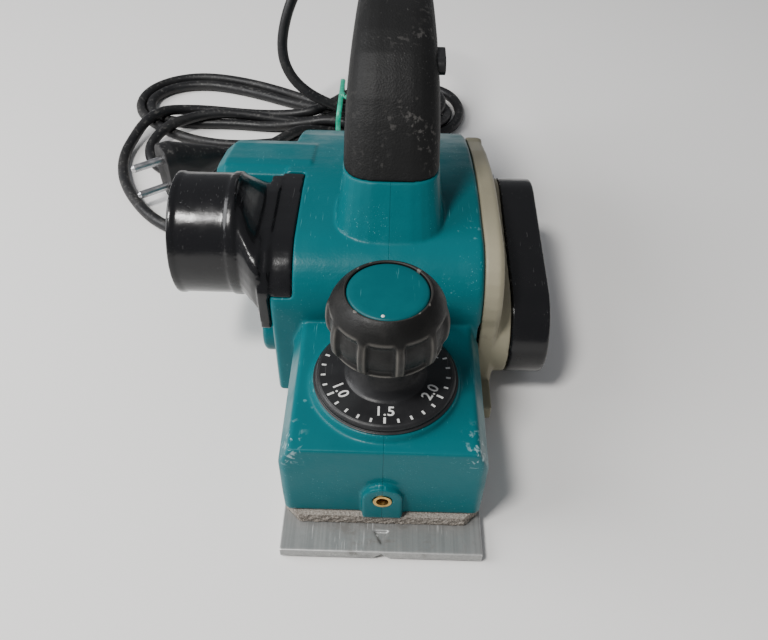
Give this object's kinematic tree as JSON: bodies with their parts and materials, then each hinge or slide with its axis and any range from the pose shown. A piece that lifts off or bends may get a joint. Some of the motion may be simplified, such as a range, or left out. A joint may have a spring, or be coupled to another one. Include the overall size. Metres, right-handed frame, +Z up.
{
  "type": "electric hand planer",
  "caption": "Corded hand planer with a looped handle, split sole, front depth knob, belt-driven cutter drum, side chip nozzle, and a coiled mains cord with plug.",
  "frame": {"origin": "middle of the rear sole, on the plane that the work rests on", "axes": "+Z up away from the work, -Y towards the front shoe, the way the tool is pushed, +X towards the belt side"},
  "size_m": [0.2689, 0.406, 0.159],
  "materials": {
    "teal_plastic": "semi-gloss moulded",
    "black_grip": "matte moulded",
    "black_gloss": "glossy moulded",
    "black_plastic": "satin moulded",
    "cream_plastic": "matte moulded",
    "cast_alloy": "cast, machined sole",
    "steel": "turned or ground",
    "sheet_core": "stacked sheet, varnished",
    "brass": "turned",
    "copper": "enamelled wire",
    "carbon": "sintered",
    "foam": "open-cell foam",
    "cord_rubber": "satin",
    "green_tie": "coated wire"
  },
  "bodies": {
    "machine": {"housing_left": "teal_plastic", "housing_right": "teal_plastic", "grip_left": "black_grip", "grip_right": "black_grip", "depth_spring": "steel", "guide_bridge": "cast_alloy", "foam_seal": "foam", "front_insert": "brass", "main_frame": "cast_alloy", "chip_guard": "black_plastic", "drum_bearings": "steel", "drive_belt": "cord_rubber", "belt_cover": "black_gloss", "cover_screws": "steel", "side_cover": "cream_plastic", "side_screws": "steel", "fan_baffle": "black_plastic", "field_core": "sheet_core", "field_coils": "copper", "motor_bearings": "steel", "brush_holders": "brass", "carbon_brushes": "carbon", "brush_springs": "steel", "brush_caps": "black_plastic", "switch_body": "black_plastic", "trigger_pin": "steel", "trigger_spring": "steel", "capacitor": "cream_plastic", "inner_lead": "cord_rubber", "cord_clamp": "black_plastic", "clamp_screws": "steel", "cord_guard": "cord_rubber", "housing_screws": "steel", "chip_nozzle": "black_gloss", "nozzle_screws": "steel", "cord_lead": "cord_rubber", "cord_hank": "cord_rubber", "cord_tie": "green_tie", "cord_tail": "cord_rubber", "plug_body": "cord_rubber", "plug_pins": "steel"},
    "knob": {"knob_grip": "black_grip", "knob_cap": "teal_plastic", "depth_dial": "black_plastic", "depth_screw": "steel"},
    "shoe": {"front_shoe": "cast_alloy", "shoe_guides": "steel"},
    "drum": {"cutter_drum": "cast_alloy", "drum_blades": "steel", "blade_clamps": "steel", "clamp_bolts": "steel", "drum_pulley": "steel"},
    "armature": {"armature_shaft": "steel", "armature_core": "sheet_core", "armature_windings": "copper", "commutator": "copper", "cooling_fan": "black_plastic", "motor_pulley": "steel"},
    "trigger": {"trigger": "black_plastic"},
    "lock": {"lock_button": "black_plastic"}
  },
  "joints": [
    {"name": "depth_knob_turn", "type": "hinge", "parent": "machine", "child": "knob", "pos_m": [0, -0.156, 0.07], "axis": [0, 0, -1], "range_deg": [-180, 120]},
    {"name": "shoe_slide", "type": "slide", "parent": "machine", "child": "shoe", "axis": [0, 0, 1], "range_m": [-0.0015, 0.001], "deforming": ["foam_seal", "depth_spring"]},
    {"name": "drum_spin", "type": "hinge", "parent": "machine", "child": "drum", "pos_m": [0, -0.0955, 0.026], "axis": [1, 0, 0], "continuous": true},
    {"name": "armature_spin", "type": "hinge", "parent": "machine", "child": "armature", "pos_m": [0, -0.028, 0.043], "axis": [1, 0, 0], "continuous": true},
    {"name": "trigger_squeeze", "type": "hinge", "parent": "machine", "child": "trigger", "pos_m": [0, -0.043, 0.124], "axis": [1, 0, 0], "range_deg": [0, 6], "stiffness_Nm_per_rad": 0.3, "springref_deg": -11.46, "deforming": ["trigger_spring"]},
    {"name": "lock_press", "type": "slide", "parent": "machine", "child": "lock", "axis": [-1, 0, 0], "range_m": [0, 0.0025], "stiffness_N_per_m": 300, "springref_m": -0.004}
  ],
  "couplings": [
    {"joint": "depth_knob_turn", "follows": "shoe_slide", "rad_per_m": 2094.4},
    {"joint": "armature_spin", "follows": "drum_spin", "ratio": 0.79085}
  ]
}
